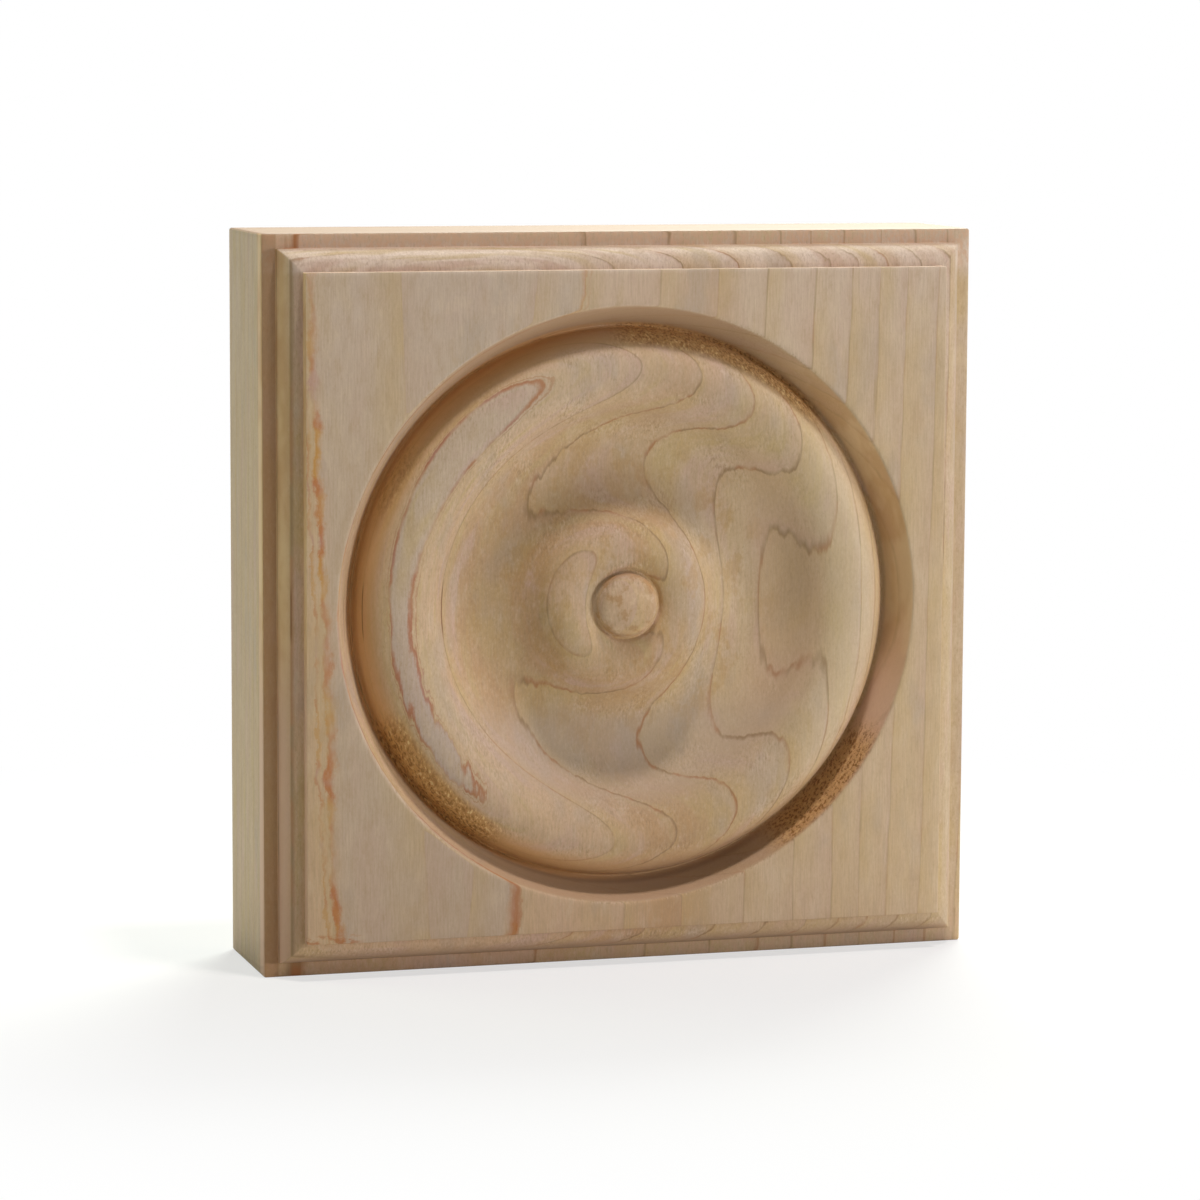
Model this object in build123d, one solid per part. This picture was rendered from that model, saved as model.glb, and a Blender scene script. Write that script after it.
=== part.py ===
from build123d import *
import os

# Corner rosette block in solid hardwood, in millimetres.
# The front faces -Y, +Z is up, and the origin is the centre of the flat back face.

# The square block and its moulded edge, from the back to the front
block_side = 88.9
body_thickness = 18.2
ledge_width = 1.75
ovolo_radius = 2.7
step_height = 1.3
body_arris = 0.3
face_arris = 0.25
block_thickness = body_thickness + ovolo_radius + step_height

# The turned rosette: radii from its centre, and depths below the front face
rosette_drop = 0.5
recess_radius = 36.15
recess_arris = 0.3
groove_outer_radius = 33.95
groove_inner_radius = 33.4
groove_depth = 4.65
groove_side_depth = 4.3
ring_crest_radius = 28.9
ring_crest_depth = 0.42
dish_radius = 16.9
dish_depth = 4.72
hump_radius = 6.8
hump_depth = 1.3
button_radius = 4.1
button_groove_width = 0.65
button_groove_depth = 2.1
button_groove_side_depth = 1.75
button_bevel_width = 0.55
button_bevel_top_depth = 0.45
button_bevel_foot_depth = 1.0
button_top_depth = 0.15

# Where the two tangent arcs of each S-curve meet, as a share of the way down from the high end
ring_turn_share = 0.465
hump_turn_share = 0.37


def square_layer(side, front):
    """A square slab from the back face to the given distance in front of it."""
    return Pos(0, -front / 2, 0) * Box(side, front, side)


def front_edges(slab):
    """The four edges round the front face of a slab."""
    return slab.faces().sort_by(Axis.Y)[0].edges()


def moulded_block():
    """The block before turning: a body with a flat ledge, a quarter-round ovolo and a raised panel."""
    body = square_layer(block_side, body_thickness)
    body = chamfer(body.edges(), body_arris)
    ovolo = square_layer(block_side - 2 * ledge_width, body_thickness + ovolo_radius)
    ovolo = fillet(front_edges(ovolo), ovolo_radius)
    panel_side = block_side - 2 * (ledge_width + ovolo_radius)
    panel = square_layer(panel_side, block_thickness)
    panel = chamfer(front_edges(panel), face_arris)
    return body + ovolo + panel


def s_curve(high, low, turn_share, direction):
    """Two tangent arcs that leave the high point level, and reach the low point level."""
    turn = Vector(high) + (Vector(low) - Vector(high)) * turn_share
    upper = TangentArc(high, turn, tangent=(direction, 0))
    TangentArc(turn, low, tangent=upper % 1)


def rosette_recess():
    """The wood that turning takes away: everything in front of the rosette's profile."""

    def at(radius, depth):
        return (radius, depth - block_thickness)

    button_top = at(0, button_top_depth)
    button_bevel_top = at(button_radius - button_bevel_width, button_bevel_top_depth)
    button_bevel_foot = at(button_radius, button_bevel_foot_depth)
    button_foot = at(button_radius, button_groove_side_depth)
    button_groove_floor = at(button_radius + button_groove_width / 2, button_groove_depth)
    button_groove_edge = at(button_radius + button_groove_width, button_groove_side_depth)
    hump = at(hump_radius, hump_depth)
    dish = at(dish_radius, dish_depth)
    crest = at(ring_crest_radius, ring_crest_depth)
    flank_foot = at(groove_inner_radius, groove_side_depth)
    groove_floor = at((groove_inner_radius + groove_outer_radius) / 2, groove_depth)
    wall_foot = at(groove_outer_radius, groove_side_depth)
    wall_top = at(recess_radius, 0)
    wall_slope = (Vector(wall_top) - Vector(wall_foot)).normalized()
    arris_start = Vector(wall_top) - wall_slope * recess_arris
    arris_end = at(recess_radius + recess_arris, 0)
    clear_of_face = -1.0

    with BuildSketch() as section:
        with BuildLine():
            TangentArc(button_top, button_bevel_top, tangent=(1, 0))
            Polyline(
                button_bevel_top,
                button_bevel_foot,
                button_foot,
                button_groove_floor,
                button_groove_edge,
            )
            TangentArc(hump, button_groove_edge, tangent=(-1, 0))
            s_curve(hump, dish, hump_turn_share, 1)
            s_curve(crest, dish, ring_turn_share, -1)
            TangentArc(crest, flank_foot, tangent=(1, 0))
            Polyline(
                flank_foot,
                groove_floor,
                wall_foot,
                arris_start,
                arris_end,
                at(recess_radius + recess_arris, clear_of_face),
                at(0, clear_of_face),
                button_top,
            )
        make_face()
    return Pos(0, 0, -rosette_drop) * revolve(section.sketch, Axis.Y)


rosette_block = moulded_block() - rosette_recess()

os.makedirs("parts", exist_ok=True)
export_step(rosette_block, "parts/rosette_block.step")
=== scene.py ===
import math

import bpy
import numpy as np
from mathutils import Matrix, Vector, noise


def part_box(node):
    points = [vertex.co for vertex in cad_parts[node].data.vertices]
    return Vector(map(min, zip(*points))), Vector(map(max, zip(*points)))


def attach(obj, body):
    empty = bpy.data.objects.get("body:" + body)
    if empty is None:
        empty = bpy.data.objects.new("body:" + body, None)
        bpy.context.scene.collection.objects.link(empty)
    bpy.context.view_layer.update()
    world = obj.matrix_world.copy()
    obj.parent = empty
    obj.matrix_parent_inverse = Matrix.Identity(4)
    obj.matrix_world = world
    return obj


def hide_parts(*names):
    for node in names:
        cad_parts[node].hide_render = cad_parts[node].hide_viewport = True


# The looks of a corner rosette block in solid maple. Shapes are worked out in millimetres and
# turned into metres when a mesh is made. The front faces -Y and the flat back is at y = 0.

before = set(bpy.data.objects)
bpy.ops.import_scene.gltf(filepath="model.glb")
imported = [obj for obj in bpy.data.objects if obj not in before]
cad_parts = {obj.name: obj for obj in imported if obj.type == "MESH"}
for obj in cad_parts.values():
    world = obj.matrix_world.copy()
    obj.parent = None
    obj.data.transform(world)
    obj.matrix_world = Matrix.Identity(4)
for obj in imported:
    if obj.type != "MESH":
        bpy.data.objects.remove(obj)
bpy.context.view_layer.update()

MM = 0.001
block_low, block_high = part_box("rosette_block")
half_side = (block_high.x - block_low.x) / 2 / MM
block_thickness = (block_high.y - block_low.y) / MM

# The moulded edge, as in the part's source
body_thickness = 18.2
ledge_width = 1.75
ovolo_radius = 2.7
step_height = block_thickness - body_thickness - ovolo_radius

# The turned rosette: radii from its centre, depths below the front face. It is as in the part's
# source, but for a button that is a little smaller and has a round shoulder.
rosette_drop = 0.5
recess_radius = 36.15
groove_outer_radius = 33.95
groove_inner_radius = 33.4
groove_depth = 4.65
groove_side_depth = 4.3
ring_crest_radius = 28.9
ring_crest_depth = 0.42
dish_radius = 16.9
dish_depth = 4.72
hump_radius = 6.8
hump_depth = 1.3
button_radius = 3.8
button_groove_width = 0.75
button_groove_depth = 2.05
button_groove_side_depth = 1.72
button_shoulder_width = 0.9
button_shoulder_top_depth = 0.5
button_shoulder_foot_depth = 1.25
button_top_depth = 0.15
ring_turn_share = 0.465
hump_turn_share = 0.37

# How finely the mesh is cut: the points along each profile and round the block
path_step = 0.02
turned_spacing = 0.52
moulded_spacing = 1.2
back_spacing = 6.0
turn_per_row = math.radians(13)
panel_rows = 6
columns_per_side = 110
corner_columns = 5

# How far its sharp edges are eased: the carved ones, the body's and the recess rim. The easing
# changes over a short way that starts at a margin before the edge.
carved_softness = 0.06
body_softness = 0.22
rim_softness = 0.25
easing_margin = 1.0
easing_change = 0.4
flat_margin = 1.0
moulding_corner_radius = 0.15
body_corner_radius = 0.3
body_corner_margin = 0.6


def arc(start, direction, end):
    """Points of the arc that leaves start in a direction and reaches end, and its direction there."""
    start, end = np.array(start, float), np.array(end, float)
    chord = end - start
    heading = math.atan2(direction[1], direction[0])
    half_turn = math.atan2(chord[1], chord[0]) - heading
    half_turn = (half_turn + math.pi) % (2 * math.pi) - math.pi
    diameter = np.hypot(*chord) / max(abs(math.sin(half_turn)), 1e-9)
    count = max(2, int(diameter * abs(half_turn) / path_step))
    turns = half_turn * np.arange(1, count + 1) / count
    reach = diameter * np.abs(np.sin(turns))
    points = start + np.stack([reach * np.cos(heading + turns), reach * np.sin(heading + turns)], 1)
    end_heading = heading + 2 * half_turn
    return points, (math.cos(end_heading), math.sin(end_heading))


def line(start, end):
    """Points along a straight line, without its start."""
    start, end = np.array(start, float), np.array(end, float)
    count = max(1, int(np.hypot(*(end - start)) / path_step))
    return start + (end - start) * (np.arange(1, count + 1) / count)[:, None]


def s_curve(start, end, turn_share, high_first=True):
    """Two tangent arcs between a high point and a low point, level at the high one."""
    high, low = (start, end) if high_first else (end, start)
    turn = np.array(high) + (np.array(low) - np.array(high)) * turn_share
    outward = 1 if low[0] > high[0] else -1
    upper, heading = arc(high, (outward, 0), turn)
    lower, _ = arc(turn, heading, low)
    points = np.concatenate([[high], upper, lower])
    return points[1:] if high_first else points[::-1][1:]


def rosette_path():
    """The turned profile as close points (radius, depth), from the button's centre to the panel."""
    button_top = (0, button_top_depth)
    shoulder_top = (button_radius - button_shoulder_width, button_shoulder_top_depth)
    shoulder_foot = (button_radius, button_shoulder_foot_depth)
    groove_start = (button_radius, button_groove_side_depth)
    groove_floor = (button_radius + button_groove_width / 2, button_groove_depth)
    groove_end = (button_radius + button_groove_width, button_groove_side_depth)
    hump = (hump_radius, hump_depth)
    dish = (dish_radius, dish_depth)
    crest = (ring_crest_radius, ring_crest_depth)
    flank_foot = (groove_inner_radius, groove_side_depth)
    quirk_floor = ((groove_inner_radius + groove_outer_radius) / 2, groove_depth)
    wall_foot = (groove_outer_radius, groove_side_depth)
    wall_top = (recess_radius, 0)

    dome, heading = arc(button_top, (1, 0), shoulder_top)
    shoulder, _ = arc(shoulder_top, heading, shoulder_foot)
    rise, _ = arc(hump, (-1, 0), groove_end)
    flank, _ = arc(crest, (1, 0), flank_foot)
    return np.concatenate([
        [button_top],
        dome,
        shoulder,
        line(shoulder_foot, groove_start),
        line(groove_start, groove_floor),
        line(groove_floor, groove_end),
        rise[::-1][1:],
        [hump],
        s_curve(hump, dish, hump_turn_share),
        s_curve(dish, crest, ring_turn_share, high_first=False),
        flank,
        line(flank_foot, quirk_floor),
        line(quirk_floor, wall_foot),
        line(wall_foot, wall_top),
        line(wall_top, (recess_radius + flat_margin, 0)),
    ])


def square_path():
    """The moulded profile as close points (half side, depth), from the panel to the back."""
    panel_half = half_side - ledge_width - ovolo_radius
    step_foot = (panel_half, step_height)
    ovolo_foot = (panel_half + ovolo_radius, step_height + ovolo_radius)
    ovolo, _ = arc(step_foot, (1, 0), ovolo_foot)
    front_arris = (half_side, step_height + ovolo_radius)
    back_arris = (half_side, block_thickness)
    start = (panel_half - flat_margin, 0)
    return np.concatenate([
        [start],
        line(start, (panel_half, 0)),
        line((panel_half, 0), step_foot),
        ovolo,
        line(ovolo_foot, front_arris),
        line(front_arris, back_arris),
        line(back_arris, (0, block_thickness)),
    ])


def softened(points, softness):
    """The same path with its corners eased, by a moving average weighted over each point's neighbours."""
    reach = int(3 * softness / path_step)
    offsets = np.arange(-reach, reach + 1)
    weights = np.exp(-0.5 * (offsets * path_step / softness) ** 2)
    weights /= weights.sum()
    before = 2 * points[0] - points[1 : reach + 1][::-1]
    after = 2 * points[-1] - points[-reach - 1 : -1][::-1]
    padded = np.concatenate([before, points, after])
    return np.stack([np.convolve(padded[:, k], weights, "valid") for k in (0, 1)], 1)


def spread(points, spacing):
    """Fewer points of a path: no further apart than spacing, and closer where it bends."""
    legs = np.diff(points, axis=0)
    lengths = np.hypot(legs[:, 0], legs[:, 1])
    headings = np.unwrap(np.arctan2(legs[:, 1], legs[:, 0]))
    turns = np.abs(np.diff(headings, prepend=headings[0]))
    measure = np.concatenate([[0], np.cumsum(lengths / spacing + turns / turn_per_row)])
    wanted = np.linspace(0, measure[-1], int(measure[-1]) + 2)
    return np.stack([np.interp(wanted, measure, points[:, k]) for k in (0, 1)], 1)


def even(points):
    """A path with its points spaced evenly, a path step apart."""
    legs = np.diff(points, axis=0)
    measure = np.concatenate([[0], np.cumsum(np.hypot(legs[:, 0], legs[:, 1]))])
    wanted = np.linspace(0, measure[-1], int(measure[-1] / path_step) + 1)
    return np.stack([np.interp(wanted, measure, points[:, k]) for k in (0, 1)], 1)


def square_ring(half, corner_radius, angles):
    """Points (x, z) round a square with rounded corners, one for each angle round its centre."""
    step = 2 * math.pi / len(angles)
    corner_reach = step * corner_columns / 2
    quarter = math.pi / 2
    side = np.round(angles / quarter)
    within = angles - side * quarter
    straight = np.clip(within * (quarter / 2) / (quarter / 2 - corner_reach), -quarter / 2, quarter / 2)
    past = np.clip(np.abs(within) - (quarter / 2 - corner_reach), 0, corner_reach) / corner_reach
    turn = past * quarter / 2
    inner = half - corner_radius
    out = inner + corner_radius * np.cos(turn)
    along = inner * np.tan(straight) + np.sign(within) * corner_radius * np.sin(turn)
    c, s = np.cos(side * quarter), np.sin(side * quarter)
    return out * c - along * s, out * s + along * c


# Where the turning tore the grain: each place's radii, its angles in degrees, counted from the
# right and up, and its share of the full depth. Each place fades in at its edges.
torn_places = {
    "lower_left": (30.2, 34.2, 200, 243, 1.0),
    "lower_right": (33.2, 36.3, 299, 336, 1.0),
    "top": (30.9, 34.2, 38, 96, 0.9),
    "upper_left": (31.0, 33.6, 140, 163, 0.35),
}
torn_depth = 0.16
torn_rise = 0.05
torn_level = 0.35
torn_coarse_waves = (1.1, 0.7)
torn_fine_waves = 2.3
torn_fine_share = 0.5
torn_inner_fade = 1.2
torn_outer_fade = 0.5
torn_turn_fade = 9.0


def eased_step(value, low, high):
    """0 below low, 1 above high, and a smooth rise between, as in the shader's remap."""
    share = np.clip((value - low) / (high - low), 0, 1)
    return share * share * (3 - 2 * share)


def torn_relief(radius, angles):
    """How far the surface is torn away at a radius, for each angle in radians."""
    turns = np.degrees(angles)
    relief = np.zeros_like(angles)
    for inner, outer, start, end, amount in torn_places.values():
        fade_in = eased_step(radius, inner, inner + torn_inner_fade)
        fade_out = eased_step(-radius, -outer, torn_outer_fade - outer)
        from_start = eased_step(turns, start, start + torn_turn_fade)
        to_end = eased_step(-turns, -end, torn_turn_fade - end)
        share = fade_in * fade_out * from_start * to_end
        for k in np.nonzero(share)[0]:
            spot = Vector((radius * math.cos(angles[k]), radius * math.sin(angles[k]), 0))
            coarse_spot = Vector((spot.x * torn_coarse_waves[0], spot.y * torn_coarse_waves[1], 0))
            rough = noise.noise(coarse_spot) + torn_fine_share * noise.noise(spot * torn_fine_waves)
            relief[k] += torn_depth * amount * share[k] * (torn_level + rough)
    return np.maximum(relief, -torn_rise)


def turned_profile():
    """The turned profile with its edges eased, as the points of the mesh's rows."""
    path = even(rosette_path())
    crisp = softened(path, carved_softness)
    start = recess_radius - easing_margin
    rim_share = eased_step(crisp[:, 0], start, start + easing_change)[:, None]
    return spread(crisp * (1 - rim_share) + softened(path, rim_softness) * rim_share, turned_spacing)


def moulded_profile():
    """The moulded profile with its edges eased, as the points of the mesh's rows."""
    path = even(square_path())
    crisp = softened(path, carved_softness)
    outwards = (crisp[:, 0] - (half_side - easing_margin)) / easing_change
    backwards = (crisp[:, 1] - (block_thickness - easing_margin)) / easing_change
    share = np.clip(np.maximum(outwards, backwards), 0, 1)[:, None]
    path = crisp * (1 - share) + softened(path, body_softness) * share
    on_back = path[:, 1] > block_thickness - 1e-4
    return np.concatenate([spread(path[~on_back], moulded_spacing), spread(path[on_back], back_spacing)])


def corner_radius(half):
    """How round the corners are of a square of a half side: the body's are rounder."""
    on_body = half >= half_side - body_corner_margin
    return min(body_corner_radius if on_body else moulding_corner_radius, half)


def block_grid():
    """The block's surface as a grid of points in millimetres: rows from the button's centre,
    out over the front, round the sides and in to the back's centre, and columns round it."""
    angles = np.arange(4 * columns_per_side) * (math.pi / 2 / columns_per_side)
    moulded = moulded_profile()
    rows = []
    for radius, depth in turned_profile():
        x = radius * np.cos(angles)
        z = radius * np.sin(angles) - rosette_drop
        rows.append((x, z, depth + torn_relief(radius, angles)))
    inner_x, inner_z, _ = rows[-1]
    panel_half = moulded[0, 0]
    outer_x, outer_z = square_ring(panel_half, corner_radius(panel_half), angles)
    for k in range(1, panel_rows):
        share = k / panel_rows
        x = inner_x * (1 - share) + outer_x * share
        z = inner_z * (1 - share) + outer_z * share
        rows.append((x, z, np.zeros_like(x)))
    for half, depth in moulded:
        x, z = square_ring(half, corner_radius(half), angles)
        rows.append((x, z, np.full_like(x, depth)))
    x, z, depth = (np.array([row[k] for row in rows]) for k in range(3))
    return np.stack([x, depth - block_thickness, z], 2)


def mesh_object(name, grid):
    """A closed mesh from a grid of points whose first and last rows are single points."""
    rows, columns = grid.shape[:2]
    inner = grid[1:-1].reshape(-1, 3)
    points = np.concatenate([grid[:1, 0], inner, grid[-1:, 0]]) * MM
    last = len(points) - 1
    k = np.arange(columns)
    after = (k + 1) % columns
    starts = 1 + np.arange(rows - 3)[:, None] * columns
    quads = np.stack([starts + k, starts + after, starts + columns + after, starts + columns + k], 2)
    first_fan = np.stack([np.zeros_like(k), 1 + k, 1 + after], 1)
    last_row = 1 + (rows - 3) * columns
    last_fan = np.stack([np.full_like(k, last), last_row + after, last_row + k], 1)
    faces = [*first_fan.tolist(), *quads.reshape(-1, 4)[:, ::-1].tolist(), *last_fan.tolist()]
    mesh = bpy.data.meshes.new(name)
    mesh.from_pydata(points.tolist(), [], faces)
    mesh.shade_smooth()
    piece = bpy.data.objects.new(name, mesh)
    bpy.context.scene.collection.objects.link(piece)
    return piece


# The camera, from the photo's perspective, in sides of the block from the back's centre
camera_place = Vector((-1.7818, -6.097, 0.7542)) * half_side * 2 * MM
camera_yaw = 0.2889
camera_pitch = 0.1223
camera_roll = 0.0047
focal_pixels = 4546.6
image_pixels = 1200
sensor_width = 36.0


def camera():
    """The photo's camera."""
    data = bpy.data.cameras.new("camera")
    data.sensor_width = sensor_width
    data.lens = sensor_width * focal_pixels / image_pixels
    data.clip_start = 0.01
    data.clip_end = 20.0
    eye = bpy.data.objects.new("camera", data)
    bpy.context.scene.collection.objects.link(eye)
    ahead = Vector((math.sin(camera_yaw), math.cos(camera_yaw), 0))
    right = Vector((math.cos(camera_yaw), -math.sin(camera_yaw), 0))
    up = Vector((0, 0, 1))
    view = ahead * math.cos(camera_pitch) - up * math.sin(camera_pitch)
    tilted_up = up * math.cos(camera_pitch) + ahead * math.sin(camera_pitch)
    x_axis = right * math.cos(camera_roll) + tilted_up * math.sin(camera_roll)
    y_axis = tilted_up * math.cos(camera_roll) - right * math.sin(camera_roll)
    turned = Matrix((x_axis, y_axis, -view)).transposed()
    eye.matrix_world = Matrix.Translation(camera_place) @ turned.to_4x4()
    bpy.context.scene.camera = eye


# The lamps: what they look at, how far they stand from it, and for each its azimuth and
# elevation in degrees, its width in metres, and its watts of red, green and blue. Azimuth 0 is
# in front of the block, and 90 to its right.
lamp_target = Vector((0, -0.015, 0))
lamp_distance = 0.6
lamps = {
    "top_lamp": (24, 79, 0.06, (2.02, 1.86, 1.78)),
    "low_right_lamp": (54, 4, 0.14, (1.20, 1.18, 1.22)),
    "back_lamp": (150, 45, 0.3, (4.9, 5.2, 4.7)),
    "left_lamp": (-122, 45, 0.3, (0.56, 0.65, 0.40)),
}


def lamp(name, azimuth, elevation, width, watts):
    """A round lamp that looks at the middle of the block's front."""
    data = bpy.data.lights.new(name, "AREA")
    data.shape = "DISK"
    data.size = width
    data.energy = max(watts)
    data.color = [w / max(watts) for w in watts]
    source = bpy.data.objects.new(name, data)
    bpy.context.scene.collection.objects.link(source)
    a, e = math.radians(azimuth), math.radians(elevation)
    away = Vector((math.sin(a) * math.cos(e), -math.cos(a) * math.cos(e), math.sin(e)))
    source.location = away * lamp_distance + lamp_target
    source.rotation_mode = "QUATERNION"
    source.rotation_quaternion = away.to_track_quat("Z", "Y")


def linear(red, green, blue):
    """A colour as written in a picture, 0 to 255, turned into the shader's own numbers."""
    shares = [c / 255 for c in (red, green, blue)]
    return tuple(c / 12.92 if c < 0.04045 else ((c + 0.055) / 1.055) ** 2.4 for c in shares) + (1.0,)


class Graph:
    """A node tree, built by calls that each add one node and give back its output."""

    def __init__(self, tree):
        self.tree = tree

    def add(self, kind, **settings):
        node = self.tree.nodes.new("ShaderNode" + kind)
        for name, value in settings.items():
            setattr(node, name, value)
        return node

    def feed(self, socket, source):
        if isinstance(source, bpy.types.NodeSocket):
            self.tree.links.new(source, socket)
        else:
            socket.default_value = source

    def math(self, operation, *sources, clamp=False):
        node = self.add("Math", operation=operation, use_clamp=clamp)
        for socket, source in zip(node.inputs, sources):
            self.feed(socket, source)
        return node.outputs[0]

    def product(self, first, *others):
        for other in others:
            first = self.math("MULTIPLY", first, other)
        return first

    def most(self, first, *others):
        for other in others:
            first = self.math("MAXIMUM", first, other)
        return first

    def remap(self, value, low, high, to_low=0.0, to_high=1.0, smooth=True):
        kind = "SMOOTHSTEP" if smooth else "LINEAR"
        node = self.add("MapRange", interpolation_type=kind, clamp=True)
        for socket, source in zip(node.inputs, (value, low, high, to_low, to_high)):
            self.feed(socket, source)
        return node.outputs[0]

    def noise(self, vector, detail=2.0, roughness=0.5):
        node = self.add("TexNoise", noise_dimensions="3D")
        self.feed(node.inputs["Vector"], vector)
        node.inputs["Scale"].default_value = 1.0
        node.inputs["Detail"].default_value = detail
        node.inputs["Roughness"].default_value = roughness
        return node.outputs[0]

    def vector_math(self, operation, vector, numbers):
        node = self.add("VectorMath", operation=operation)
        self.feed(node.inputs[0], vector)
        node.inputs[1].default_value = numbers
        return node.outputs[0]

    def parts(self, vector):
        node = self.add("SeparateXYZ")
        self.feed(node.inputs[0], vector)
        return node.outputs

    def combined(self, x, y, z):
        node = self.add("CombineXYZ")
        for socket, source in zip(node.inputs, (x, y, z)):
            self.feed(socket, source)
        return node.outputs[0]

    def ramp(self, value, *stops):
        node = self.add("ValToRGB")
        self.feed(node.inputs[0], value)
        points = node.color_ramp.elements
        while len(points) < len(stops):
            points.new(0.5)
        for point, (position, colour) in zip(points, stops):
            point.position = position
            point.color = colour
        return node.outputs[0]

    def mix(self, share, first, second, blend="MIX"):
        node = self.add("Mix", data_type="RGBA", blend_type=blend)
        self.feed(node.inputs[0], share)
        self.feed(node.inputs[6], first)
        self.feed(node.inputs[7], second)
        return node.outputs[2]

    def seen_directly(self):
        """1 where a ray comes from the camera, a mirror or a clear body, and 0 for lighting rays."""
        rays = self.add("LightPath").outputs
        return self.most(rays["Is Camera Ray"], rays["Is Glossy Ray"], rays["Is Transmission Ray"])


def new_graph(owner):
    """The empty node graph of a new material or world."""
    owner.use_nodes = True
    owner.node_tree.nodes.clear()
    return Graph(owner.node_tree)


# The growth rings. The pith stands in front of the block and leans a little to the right as it
# rises. A ring's place is its distance from the pith across the front face, in millimetres.
pith_x = -20.3
pith_lean = 0.042
ring_roundness = 171.0
left_flatness = 0.40
line_width = 0.24
growth_rings = {
    "A": (4.2, 0.08),
    "C": (21.85, 0.6),
    "D": (29.1, 0.95),
    "E": (36.1, 1.00),
    "F": (42.3, 0.90),
    "G": (47.08, 0.75),
    "J": (50.7, 0.65),
    "K": (54.4, 0.7),
    "L": (58.5, 0.7),
    "M": (62.6, 0.7),
    "N": (66.4, 0.6),
    "P": (70.1, 0.7),
    "Q": (73.6, 0.6),
    "R": (77.5, 0.7),
    "S": (81.3, 0.6),
    "T": (85.2, 0.7),
    "U": (89.4, 0.6),
}
marked_ring = 21.95
mark_width = 0.6

# How far the wood is tinted on each side of a ring
inside_reach = 2.4
outside_reach = 3.4

# How far noise swings a ring from its place, in millimetres
slow_swing = 0.5
ripple_swing = 0.36
thread_swing = 0.40
scallop_swing = 0.8

# The stained ring: its place left and right of the pith, its width and its second line
stain_left_place = 11.2
stain_right_place = 10.0
stain_width = 0.65
second_offset = 0.8
second_strength = 0.6
second_width = 0.3
streak_offset = 0.3
streak_width = 1.7
jagged_swing = 2.0
spike_swing = 3.2

# The wood's colour from the pith outwards, up to tone_reach millimetres from it
tone_reach = 60.0
tones = (
    (0.0, (206, 185, 161)),
    (0.17, (208, 186, 161)),
    (0.20, (217, 187, 153)),
    (0.36, (214, 181, 146)),
    (0.44, (203, 165, 124)),
    (0.50, (199, 161, 119)),
    (0.62, (208, 179, 141)),
    (0.78, (210, 184, 148)),
    (1.0, (204, 180, 148)),
)

# The other colours, as written in a picture: the wood's own, and the light and shade painted on it
colours = {
    "face": (216, 190, 158),
    # painted sheen: the top light's paler, pinker cast on the upper face
    "high": (219, 200, 187),
    # painted highlight: the top light's pale pinkish sheen on the top ovolo
    "top_ovolo_highlight": (238, 220, 206),
    "ochre_patch": (204, 178, 126),
    "pink_patch": (210, 178, 162),
    "cloud": (194, 176, 158),
    "dark_blotch": (190, 160, 124),
    "pale_blotch": (226, 206, 178),
    "inside_ring": (200, 168, 142),
    "outside_ring": (208, 179, 128),
    "lilac_band": (196, 178, 168),
    "golden": (192, 152, 96),
    "fibre": (182, 154, 122),
    "dark_fuzz": (168, 134, 96),
    "pale_fuzz": (230, 210, 182),
    "dark_hair": (150, 120, 84),
    "pale_hair": (232, 216, 190),
    "cut_across": (180, 148, 118),
    "sawn_ledge": (214, 178, 148),
    # painted shade: the left ledge in the shadow of the moulding beside it
    "shaded_left_ledge": (176, 132, 94),
    "back": (176, 144, 108),
    "dark_mottle": (178, 134, 84),
    "pale_mottle": (226, 200, 164),
    # partly the wood's own burnish, partly painted warm bounce light
    "groove_flank": (218, 168, 110),
    # painted warm bounce light: the colours of the recess wall as lit by it
    "bounce_lit_pale_wall": (240, 206, 158),
    "bounce_lit_dark_wall": (222, 180, 130),
    "bounce_lit_low_wall": (226, 188, 162),
    "cool_line": (146, 116, 78),
    "warm_line": (172, 114, 70),
    "ring_mark": (128, 84, 50),
    "yellow_stain": (204, 154, 88),
    "orange_stain": (196, 130, 82),
    "lilac_stain": (194, 150, 138),
    "low_streak": (184, 122, 72),
    "carved_stain": (178, 124, 98),
    "corner_stain": (190, 118, 66),
    "torn": (206, 156, 92),
    "pit": (126, 80, 36),
    "chip": (246, 218, 158),
}
end_grain_darkening = (0.60, 0.57, 0.55, 1.0)

# Patches of the turned part: the radii over which each fades in and out, the side that it lies on,
# as the axis and the distances over which it fades in, and how strong it is, with its colour
# Three of them, high and low in the dish and low in the groove, are painted shade and shadow.
turned_patches = {
    "pale": ((24.0, 27.0), (33.0, 31.5), "x", (20.0, 26.0), 0.30, (232, 214, 184)),
    "pink": ((16.5, 19.0), (26.0, 24.0), "x", (13.0, 18.0), 0.30, (224, 188, 160)),
    # painted shadow: the cool grey shadow that the hump casts down over the lower dish
    "hump_shadow": ((12.0, 15.0), (28.0, 22.0), "z", (-10.0, -16.0), 0.38, (188, 170, 156)),
    # painted shade on the upper dish above the hump, whose slope faces down, away from the top light
    "shade_above_hump": ((8.5, 12.0), (18.0, 14.0), "z", (7.0, 12.0), 0.30, (160, 128, 98)),
    # painted shade deep in the low groove, where the ring beside it shuts off the top light
    "shaded_low_groove": ((33.0, 33.4), (34.6, 34.2), "z", (-27.0, -32.0), 0.45, (136, 104, 78)),
}

# The surface: how rough and shiny it is, and how its fibres and torn specks stand out
roughness = 0.5
specular_level = 0.22
fuzz_height = 0.6
fibre_height = 0.7
speck_height = 4.0
bump_strength = 0.5
bump_distance = 0.00005


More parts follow.
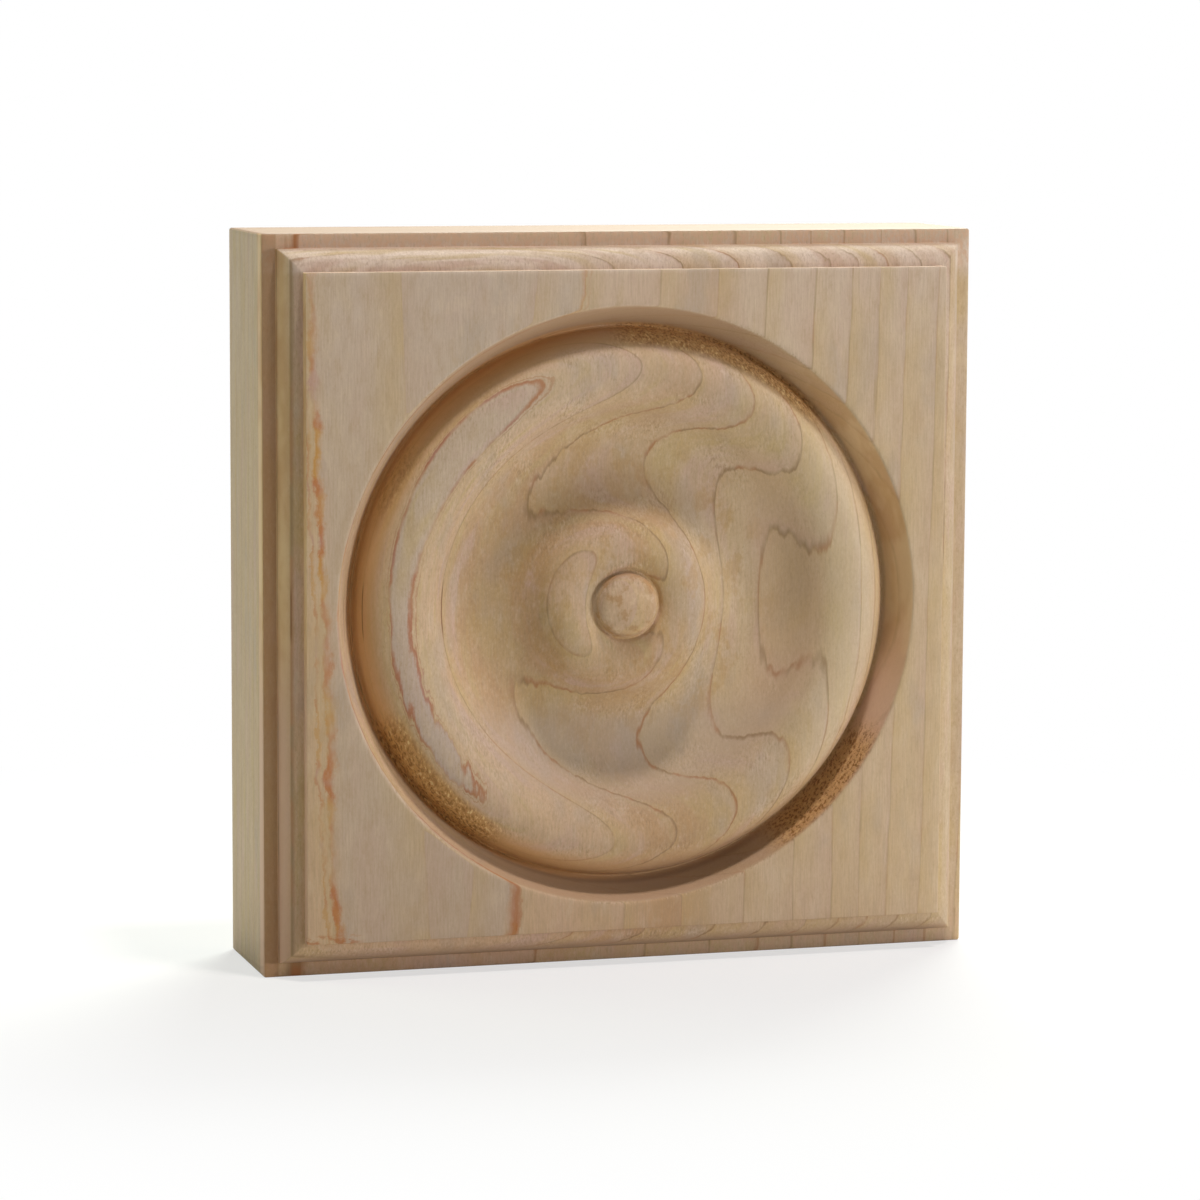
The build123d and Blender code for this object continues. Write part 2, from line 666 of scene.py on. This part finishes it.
def growth_ring_group():
    """A node group that gives the darkness of one ring line, and of the wood just inside and outside it."""
    tree = bpy.data.node_groups.new("growth_ring", "ShaderNodeTree")
    for name in ("Distance", "Ring", "Strength", "Width"):
        tree.interface.new_socket(name, in_out="INPUT", socket_type="NodeSocketFloat")
    for name in ("Line", "Inside", "Outside"):
        tree.interface.new_socket(name, in_out="OUTPUT", socket_type="NodeSocketFloat")
    g = Graph(tree)
    source = tree.nodes.new("NodeGroupInput").outputs
    result = tree.nodes.new("NodeGroupOutput").inputs
    past = g.math("SUBTRACT", source["Distance"], source["Ring"])
    width = source["Width"]
    rise = g.remap(past, g.product(width, -1.0), 0.0)
    fall = g.remap(past, 0.0, g.product(width, 0.5), 1.0, 0.0)
    g.feed(result["Line"], g.product(rise, fall, source["Strength"]))
    inside = g.remap(past, -inside_reach, 0.0, smooth=False)
    g.feed(result["Inside"], g.product(inside, inside, g.remap(past, 0.0, 0.12, 1.0, 0.0)))
    outside = g.remap(past, 0.0, outside_reach, 1.0, 0.0, smooth=False)
    g.feed(result["Outside"], g.product(outside, g.remap(past, -0.1, 0.05)))
    return tree


class Maple:
    """Unfinished hard maple with its grain upright, as one solid whose rings show on every cut.
    Each step finds where a pattern lies, or tints the wood with one."""

    def __init__(self, graph):
        self.g = graph
        self.ring_tree = growth_ring_group()
        self.find_places()
        self.find_distance()
        self.find_rings()
        self.find_stain()
        self.find_grain()
        self.tint_between_rings()
        self.tint_fibres()
        self.tint_cut_faces()
        self.tint_turned_part()
        self.draw_rings()
        self.draw_stain()
        self.tear_grain()

    def pattern(self, across_grain, along_grain, detail, roughness=0.5, shift=None):
        """Noise with so many waves a millimetre across the grain and along it."""
        vector = self.g.vector_math("MULTIPLY", self.place, (across_grain, across_grain, along_grain))
        if shift:
            vector = self.g.vector_math("ADD", vector, shift)
        return self.g.noise(vector, detail, roughness)

    def swing(self, pattern, size):
        """A pattern as a distance to both sides of nought, size across."""
        return self.g.math("MULTIPLY_ADD", pattern, size, -size / 2)

    def tint(self, share, colour):
        """Tints the wood with a named colour."""
        self.wood = self.g.mix(share, self.wood, linear(*colours[colour]))

    def ring(self, label, distance, place_of_ring, strength, width):
        """One ring's line, and the wood inside and outside it."""
        node = self.g.add("Group", node_tree=self.ring_tree, label="ring " + label)
        for socket, value in zip(node.inputs, (distance, place_of_ring, strength, width)):
            self.g.feed(socket, value)
        return node.outputs

    def find_places(self):
        """Where a point lies in the block and on its turned front, and which way its surface faces."""
        g = self.g
        coordinates = g.add("TexCoord").outputs
        self.place = g.vector_math("MULTIPLY", coordinates["Object"], (1 / MM, 1 / MM, 1 / MM))
        self.x, y, self.z = g.parts(self.place)
        self.normal_x, self.normal_y, normal_z = g.parts(coordinates["Normal"])
        self.endwise = g.math("ABSOLUTE", normal_z)
        self.level = g.product(self.normal_y, self.normal_y)
        self.depth = g.math("ADD", y, block_thickness)
        self.in_front = g.remap(self.depth, 6.5, 5.5)
        tilt = g.math("SQRT", g.math("SUBTRACT", 1.0, self.level, clamp=True))
        self.tilt = tilt
        self.front_tilt = g.product(tilt, self.in_front)
        up = g.math("ADD", self.z, rosette_drop)
        self.radius = g.math("SQRT", g.math("MULTIPLY_ADD", self.x, self.x, g.product(up, up)))
        turn = g.math("ARCTAN2", g.product(up, -1.0), g.product(self.x, -1.0))
        self.angle = g.math("ADD", g.math("DEGREES", turn), 180.0)

    def find_distance(self):
        """Distance from the pith, with the lean and the wander of real rings."""
        g = self.g
        pith = g.math("MULTIPLY_ADD", self.z, pith_lean, pith_x)
        across = g.math("SUBTRACT", self.x, pith)
        flatness = g.remap(across, -1.0, 1.0, left_flatness, 1.0)
        squared = g.product(across, across, flatness)
        distance = g.math("SQRT", g.math("MULTIPLY_ADD", self.depth, ring_roundness, squared))
        inner_lean = g.remap(across, -5.0, 8.0, 0.054, 0.070)
        lean = g.remap(distance, 13.0, 20.0, inner_lean, 0.012)
        lean = g.math("ADD", lean, g.remap(distance, 28.0, 38.0, 0.0, -0.025))
        lean = g.math("ADD", lean, g.remap(distance, 42.0, 54.0, 0.0, -0.007))
        distance = g.math("SUBTRACT", distance, g.product(lean, self.z))

        slow = self.swing(self.pattern(0.10, 0.035, detail=1.0), slow_swing)
        ripple = self.swing(self.pattern(0.75, 0.09, detail=1.0), ripple_swing)
        thread = self.swing(self.pattern(2.2, 0.16, detail=2.0), thread_swing)
        scallop = self.swing(self.pattern(0.95, 0.03, detail=1.0), scallop_swing)
        fine = g.product(g.math("ADD", ripple, thread), g.remap(distance, 22.5, 27.0, 0.4, 1.0))
        scallop = g.product(scallop, g.remap(distance, 23.0, 28.0, 0.12, 1.0))
        for wander in (slow, fine, scallop):
            distance = g.math("ADD", distance, wander)
        trough = g.product(g.remap(self.radius, 12.5, 16.0), g.remap(self.radius, 21.5, 18.0), self.in_front)
        self.distance = g.math("SUBTRACT", distance, g.product(trough, 0.4))
        self.across = across

    def find_rings(self):
        """The lines of the growth rings, and the wood inside and outside them."""
        g = self.g
        self.left_moulding = g.product(
            g.remap(self.x, -39.6, -40.2), g.remap(self.x, -42.9, -42.5), self.in_front
        )
        width = g.math("MULTIPLY_ADD", self.front_tilt, 0.4, line_width)
        width = g.math("MULTIPLY_ADD", self.left_moulding, 0.9, width)
        rings = [
            self.ring(name, self.distance, middle, strength, width)
            for name, (middle, strength) in growth_rings.items()
        ]
        self.lines, self.inside, self.outside = (
            g.most(*(ring[side] for ring in rings)) for side in ("Line", "Inside", "Outside")
        )

    def find_stain(self):
        """The innermost ring, which is stained: a jagged line, doubled in places, with a lilac band
        inside it where it is carved, and a broad streak low on the face."""
        g = self.g
        jagged = self.swing(self.pattern(0.42, 0.26, detail=5.0, roughness=0.72), jagged_swing)
        spikes = self.swing(self.pattern(1.5, 0.16, detail=2.0), spike_swing)
        spikes = g.product(spikes, g.remap(self.depth, 0.1, 0.5), g.remap(self.z, 8.0, -10.0))
        stained = g.math("ADD", g.math("ADD", self.distance, jagged), spikes)
        middle = g.remap(self.across, -5.0, 8.0, stain_left_place, stain_right_place)
        first = self.ring("B", stained, middle, 1.0, g.math("ADD", self.tilt, stain_width))
        second_place = g.math("ADD", middle, second_offset)
        second = self.ring("B second", stained, second_place, second_strength, second_width)
        streak = self.ring("B low", stained, g.math("ADD", middle, streak_offset), 1.0, streak_width)
        self.low_streak = g.product(g.remap(self.across, 0.0, 4.0), g.remap(self.z, -26.0, -31.0))
        self.stain = g.most(first["Line"], second["Line"], g.product(streak["Line"], self.low_streak))
        self.outside = g.most(first["Outside"], self.outside)
        within = g.math("SUBTRACT", middle, stained)
        self.lilac_band = g.product(
            g.remap(within, 0.0, 0.25),
            g.remap(within, 2.2, 0.9),
            g.remap(self.depth, 0.2, 0.6),
            g.remap(self.z, 12.0, -4.0, 0.25, 1.0),
            self.in_front,
        )

    def find_grain(self):
        """The patterns that more than one step uses."""
        self.cloud = self.pattern(0.16, 0.08, detail=3.0, roughness=0.6, shift=(7, 3, 1))
        self.fibre = self.pattern(5.0, 0.30, detail=3.0, roughness=0.65)
        self.fuzz = self.pattern(3.6, 1.7, detail=3.0, roughness=0.75)
        # The top ovolo, where the top light's highlight is painted into the colour; the end-grain tints
        # leave it out
        top_ovolo_highlight = self.g.product(self.g.remap(self.z, 39.4, 40.2), self.g.remap(self.z, 43.6, 42.2))
        self.top_ovolo_highlight = self.g.product(top_ovolo_highlight, self.in_front)

    def tint_between_rings(self):
        """The tone at each distance from the pith, and large soft patches over it."""
        g = self.g
        share = g.remap(self.distance, 0.0, tone_reach, smooth=False)
        self.wood = g.ramp(share, *((place, linear(*colour)) for place, colour in tones))
        on_face = g.product(g.remap(self.depth, 0.3, 0.05), g.remap(self.distance, 28.0, 36.0))
        self.tint(on_face, "face")
        # painted sheen of the top light: the face paler and pinker towards the top, most on the right
        self.tint(g.product(g.remap(self.z, 12.0, 42.0), g.remap(self.x, 15.0, 36.0, 0.45, 0.65)), "high")
        # painted highlight of the top light on the top ovolo
        self.tint(g.product(self.top_ovolo_highlight, 0.8), "top_ovolo_highlight")

        along_ring = g.combined(
            g.product(self.distance, 0.30), g.product(self.x, 0.06), g.product(self.z, 0.075)
        )
        patches = g.noise(along_ring, detail=2.0, roughness=0.55)
        patchy = g.remap(self.depth, 0.05, 0.5, 0.22, 0.62)
        self.tint(g.product(g.remap(patches, 0.52, 0.66), patchy), "ochre_patch")
        self.tint(g.product(g.remap(patches, 0.48, 0.34), patchy), "pink_patch")
        self.tint(g.remap(self.cloud, 0.52, 0.70, 0.0, 0.6), "cloud")
        blotch = self.pattern(0.62, 0.30, detail=3.0, roughness=0.6, shift=(3, 9, 4))
        self.tint(g.remap(blotch, 0.5, 0.72, 0.0, 0.35), "dark_blotch")
        self.tint(g.remap(blotch, 0.5, 0.3, 0.0, 0.30), "pale_blotch")
        self.tint(g.product(self.inside, 0.32), "inside_ring")
        self.tint(g.product(self.outside, g.remap(self.cloud, 0.35, 0.6, 0.15, 0.6)), "outside_ring")
        self.tint(g.product(self.lilac_band, 0.65), "lilac_band")
        golden = self.pattern(0.28, 0.20, detail=4.0, roughness=0.65, shift=(11, 4, 6))
        golden = g.product(g.remap(golden, 0.50, 0.62), g.remap(self.depth, 0.1, 1.2), self.in_front)
        self.tint(g.product(golden, g.remap(self.radius, 24.0, 16.0), 0.5), "golden")

    def tint_fibres(self):
        """Fibres along the grain, the fuzz of a cut, and hairs raised where it crosses the grain."""
        g = self.g
        self.tint(g.remap(self.fibre, 0.35, 0.70, 0.0, 0.34), "fibre")
        fuzziness = g.remap(self.depth, 0.0, 0.6, 0.45, 1.0)
        self.tint(g.product(g.remap(self.fuzz, 0.5, 0.74, 0.0, 0.38), fuzziness), "dark_fuzz")
        self.tint(g.product(g.remap(self.fuzz, 0.5, 0.28, 0.0, 0.26), fuzziness), "pale_fuzz")
        hair = self.pattern(4.2, 0.8, detail=2.0, roughness=0.6)
        across_grain = g.math("SUBTRACT", g.remap(self.endwise, 0.08, 0.3), self.top_ovolo_highlight, clamp=True)
        raised = self.pattern(0.16, 0.16, detail=2.0, shift=(2, 6, 3))
        raised = g.product(g.remap(raised, 0.48, 0.6), across_grain)
        self.tint(g.product(g.remap(hair, 0.52, 0.66), raised, 0.34), "dark_hair")
        self.tint(g.product(g.remap(hair, 0.46, 0.34), raised, 0.26), "pale_hair")

    def tint_cut_faces(self):
        """Faces cut across the grain, the rough sawn ledge, the painted shade on the left ledge, the back,
        and the end grain.
        """
        g = self.g
        cut_across = g.product(g.remap(self.endwise, 0.35, 0.95), g.math("SUBTRACT", 1.0, self.top_ovolo_highlight))
        self.tint(g.product(cut_across, 0.9), "cut_across")

        height = g.math("ABSOLUTE", self.z)
        half = g.most(g.math("ABSOLUTE", self.x), height)
        sawn = self.pattern(1.6, 0.9, detail=4.0, roughness=0.7)
        ledge = g.product(
            g.remap(half, 42.3, 42.8),
            g.remap(height, 38.0, 42.0),
            g.remap(self.z, -1.0, 1.0, 0.5, 1.0),
            g.remap(sawn, 0.40, 0.60, 0.1, 0.9),
            g.remap(self.level, 0.3, 0.7),
            self.in_front,
        )
        self.tint(ledge, "sawn_ledge")
        # painted shade on the left ledge, darkened where the moulding beside it shades it from the key light
        shaded_left_ledge = g.product(
            g.remap(self.x, -42.5, -42.8), g.remap(self.level, 0.2, 0.8), self.in_front
        )
        self.tint(g.product(shaded_left_ledge, 0.6), "shaded_left_ledge")

        self.tint(g.product(g.remap(self.normal_y, 0.3, 0.8), 0.5), "back")
        self.end_grain = g.product(g.remap(height, 44.1, 44.4), g.remap(self.endwise, 0.5, 0.9))
        self.wood = g.mix(self.end_grain, self.wood, end_grain_darkening, blend="MULTIPLY")

    def tint_turned_part(self):
        """Patches of the turned part, some of them painted shade, the mottled button, the golden groove
        flank and the wall, both with painted warm bounce light.
        """
        g = self.g
        sides = {"x": self.x, "z": self.z}
        for inner, outer, axis, side, strength, colour in turned_patches.values():
            here = g.product(
                g.remap(self.radius, *inner), g.remap(self.radius, *outer), g.remap(sides[axis], *side)
            )
            self.wood = g.mix(g.product(here, self.in_front, strength), self.wood, linear(*colour))

        on_button = g.product(g.remap(self.radius, 4.1, 3.9), self.in_front)
        mottle = self.pattern(0.62, 0.55, detail=4.0, roughness=0.65, shift=(21, 5, 2))
        self.tint(g.product(g.remap(mottle, 0.50, 0.64), on_button, 0.6), "dark_mottle")
        self.tint(g.product(g.remap(mottle, 0.46, 0.34), on_button, 0.5), "pale_mottle")

        # The golden groove flank, strongest on the left: partly the wood's own colour, partly painted warm
        # light bounced between the groove's sides
        flank = g.product(
            g.remap(self.radius, 30.0, 32.5),
            g.remap(self.radius, 34.3, 33.9),
            g.remap(self.x, 6.0, -16.0, 0.15, 0.72),
            self.in_front,
        )
        self.tint(flank, "groove_flank")
        # painted warm bounce light: the recess wall that faces left made paler and warmer than the wood,
        # with the wood's own variation over it
        wall = g.product(g.remap(self.radius, 33.9, 34.2), g.remap(self.normal_x, -0.35, -0.85))
        pale, dark, low = (linear(*colours[name]) for name in ("bounce_lit_pale_wall", "bounce_lit_dark_wall", "bounce_lit_low_wall"))
        bounce_lit_wall_wood = g.mix(g.remap(self.cloud, 0.42, 0.58), pale, dark)
        bounce_lit_wall_wood = g.mix(g.remap(self.z, 0.0, -16.0), bounce_lit_wall_wood, low)
        self.wood = g.mix(g.product(wall, self.in_front, 0.8), self.wood, bounce_lit_wall_wood)

    def draw_rings(self):
        """The ring lines: faint on the flat face, stronger where the surface is carved."""
        g = self.g
        broken = g.remap(self.pattern(0.9, 0.22, detail=2.0), 0.28, 0.62, 0.35, 1.0)
        carved = g.remap(self.depth, 0.02, 0.5, 0.42, 0.74)
        off_button = g.remap(self.radius, 4.0, 4.8)
        off_wall = g.remap(self.front_tilt, 0.6, 0.85, 1.0, 0.35)
        strength = g.product(broken, carved, off_button, off_wall)
        strength = g.math("ADD", strength, g.product(self.left_moulding, 0.7), clamp=True)
        strength = g.math("ADD", strength, g.product(self.end_grain, 0.3), clamp=True)
        warm = g.remap(self.pattern(0.35, 0.2, detail=1.0), 0.45, 0.6)
        cool_line, warm_line = (linear(*colours[name]) for name in ("cool_line", "warm_line"))
        self.wood = g.mix(g.product(self.lines, strength), self.wood, g.mix(warm, cool_line, warm_line))

        mark = self.ring("C mark", self.distance, marked_ring, 1.0, mark_width)["Line"]
        beside = g.remap(g.math("ABSOLUTE", g.math("ADD", self.z, 0.5)), 4.0, 2.0)
        mark = g.product(mark, beside, g.remap(self.x, -19.0, -20.0), self.in_front)
        self.tint(g.product(mark, 0.8), "ring_mark")

    def draw_stain(self):
        """The stained ring's line, in a hue that changes along it, and its smear in the low left corner."""
        g = self.g
        strength = g.remap(self.pattern(0.3, 0.16, detail=3.0), 0.34, 0.56, 0.25, 1.0)
        strength = g.most(strength, g.product(self.low_streak, 0.9))
        strength = g.product(strength, g.remap(self.z, 38.0, 24.0, 0.4, 1.0))
        hue = self.pattern(0.22, 0.15, detail=2.0, shift=(5, 2, 8))
        colour = linear(*colours["yellow_stain"])
        for share, name in (
            (g.remap(hue, 0.40, 0.50), "orange_stain"),
            (g.remap(hue, 0.52, 0.62), "lilac_stain"),
            (g.product(self.low_streak, 0.8), "low_streak"),
            (g.remap(self.depth, 0.1, 0.4, 0.0, 0.75), "carved_stain"),
        ):
            colour = g.mix(share, colour, linear(*colours[name]))
        self.wood = g.mix(g.product(self.stain, strength), self.wood, colour)

        smear = self.pattern(0.5, 1.3, detail=3.0, roughness=0.6, shift=(4, 8, 2))
        corner = g.product(
            g.remap(self.x, -32.5, -35.0),
            g.remap(self.z, -38.6, -39.2),
            g.remap(smear, 0.47, 0.60),
            g.remap(self.depth, 0.9, 0.5),
        )
        self.tint(g.product(corner, 0.7), "corner_stain")

    def tear_grain(self):
        """The torn places: golden wood with dark pits, mostly outwards, and pale chips inwards, which also
        paint light on the inner part and shade towards the groove.
        """
        g = self.g
        torn = g.most(*(
            g.product(
                g.remap(self.radius, inner, inner + torn_inner_fade),
                g.remap(self.radius, outer, outer - torn_outer_fade),
                g.remap(self.angle, start, start + torn_turn_fade),
                g.remap(self.angle, end, end - torn_turn_fade),
                amount,
            )
            for inner, outer, start, end, amount in torn_places.values()
        ))
        torn = g.product(torn, self.in_front)
        specks = self.pattern(2.9, 1.1, detail=3.0, roughness=0.6)
        # Pits weighted outwards and chips inwards paint shade towards the groove and light on the inner part
        # of the torn flank, over the torn grain's own specks
        outwards = g.remap(self.radius, 31.2, 33.0, 0.55, 1.0)
        inwards = g.remap(self.radius, 33.4, 32.0, 0.3, 1.0)
        self.pits = g.product(g.remap(specks, 0.50, 0.60), torn, outwards)
        self.chips = g.product(g.remap(specks, 0.44, 0.34), torn, inwards)
        self.tint(g.product(torn, 0.75), "torn")
        self.tint(g.product(self.pits, 0.70), "pit")
        self.tint(g.product(self.chips, 0.85), "chip")

    def relief(self):
        """How high fibres, fuzz and torn specks stand."""
        g = self.g
        specks = g.product(g.math("SUBTRACT", self.chips, self.pits), speck_height)
        fibres = g.math("MULTIPLY_ADD", self.fuzz, fuzz_height, g.product(self.fibre, fibre_height))
        return g.math("ADD", fibres, specks)


def maple_material():
    """The block's material."""
    material = bpy.data.materials.new("maple")
    g = new_graph(material)
    maple = Maple(g)
    shader = g.add("BsdfPrincipled")
    g.feed(shader.inputs["Base Color"], maple.wood)
    shader.inputs["Roughness"].default_value = roughness
    shader.inputs["Specular IOR Level"].default_value = specular_level
    bump = g.add("Bump")
    bump.inputs["Strength"].default_value = bump_strength
    bump.inputs["Distance"].default_value = bump_distance
    g.feed(bump.inputs["Height"], maple.relief())
    g.feed(shader.inputs["Normal"], bump.outputs[0])
    g.feed(g.add("OutputMaterial").inputs["Surface"], shader.outputs[0])
    return material


# The floor: how wide it is, how bright it is to lighting rays, and how much of its own white shows
# near the block, where the shadow falls, and from how far it is all white
floor_reach = 3.0
floor_grey = 0.8
white_share_near = 0.62
shadow_near = 0.04
shadow_far = 0.16
soft_light = 0.02


def floor_material():
    """A white floor that a camera sees as white, and that still takes the block's shadow near it."""
    material = bpy.data.materials.new("white_floor")
    g = new_graph(material)
    distance = g.add("VectorMath", operation="LENGTH")
    g.feed(distance.inputs[0], g.add("TexCoord").outputs["Object"])
    share = g.remap(distance.outputs["Value"], shadow_near, shadow_far, white_share_near, 1.0)
    matte = g.add("BsdfDiffuse")
    matte.inputs["Color"].default_value = (floor_grey, floor_grey, floor_grey, 1)
    glow = g.add("Emission")
    glow.inputs["Color"].default_value = (1, 1, 1, 1)
    mixed = g.add("MixShader")
    g.feed(mixed.inputs[0], g.product(share, g.seen_directly()))
    g.feed(mixed.inputs[1], matte.outputs[0])
    g.feed(mixed.inputs[2], glow.outputs[0])
    g.feed(g.add("OutputMaterial").inputs["Surface"], mixed.outputs[0])
    return material


def world_light():
    """White where a camera looks, and a soft even light from all round on the block."""
    world = bpy.data.worlds.new("world")
    bpy.context.scene.world = world
    g = new_graph(world)
    mixed = g.add("MixShader")
    g.feed(mixed.inputs[0], g.seen_directly())
    for socket, strength in zip(mixed.inputs[1:], (soft_light, 1.0)):
        background = g.add("Background")
        background.inputs["Color"].default_value = (1, 1, 1, 1)
        background.inputs["Strength"].default_value = strength
        g.feed(socket, background.outputs[0])
    g.feed(g.add("OutputWorld").inputs["Surface"], mixed.outputs[0])


def white_floor():
    """A wide floor under the block."""
    corners = [(-1, -1), (1, -1), (1, 1), (-1, 1)]
    points = [(x * floor_reach, y * floor_reach, block_low.z) for x, y in corners]
    mesh = bpy.data.meshes.new("floor")
    mesh.from_pydata(points, [], [(0, 1, 2, 3)])
    mesh.materials.append(floor_material())
    ground = bpy.data.objects.new("floor", mesh)
    bpy.context.scene.collection.objects.link(ground)


block = mesh_object("turned_block", block_grid())
camera()
for name, settings in lamps.items():
    lamp(name, *settings)
world_light()
white_floor()
block.data.materials.append(maple_material())

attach(block, "root")
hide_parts("rosette_block")

bpy.context.scene.view_settings.view_transform = "Standard"
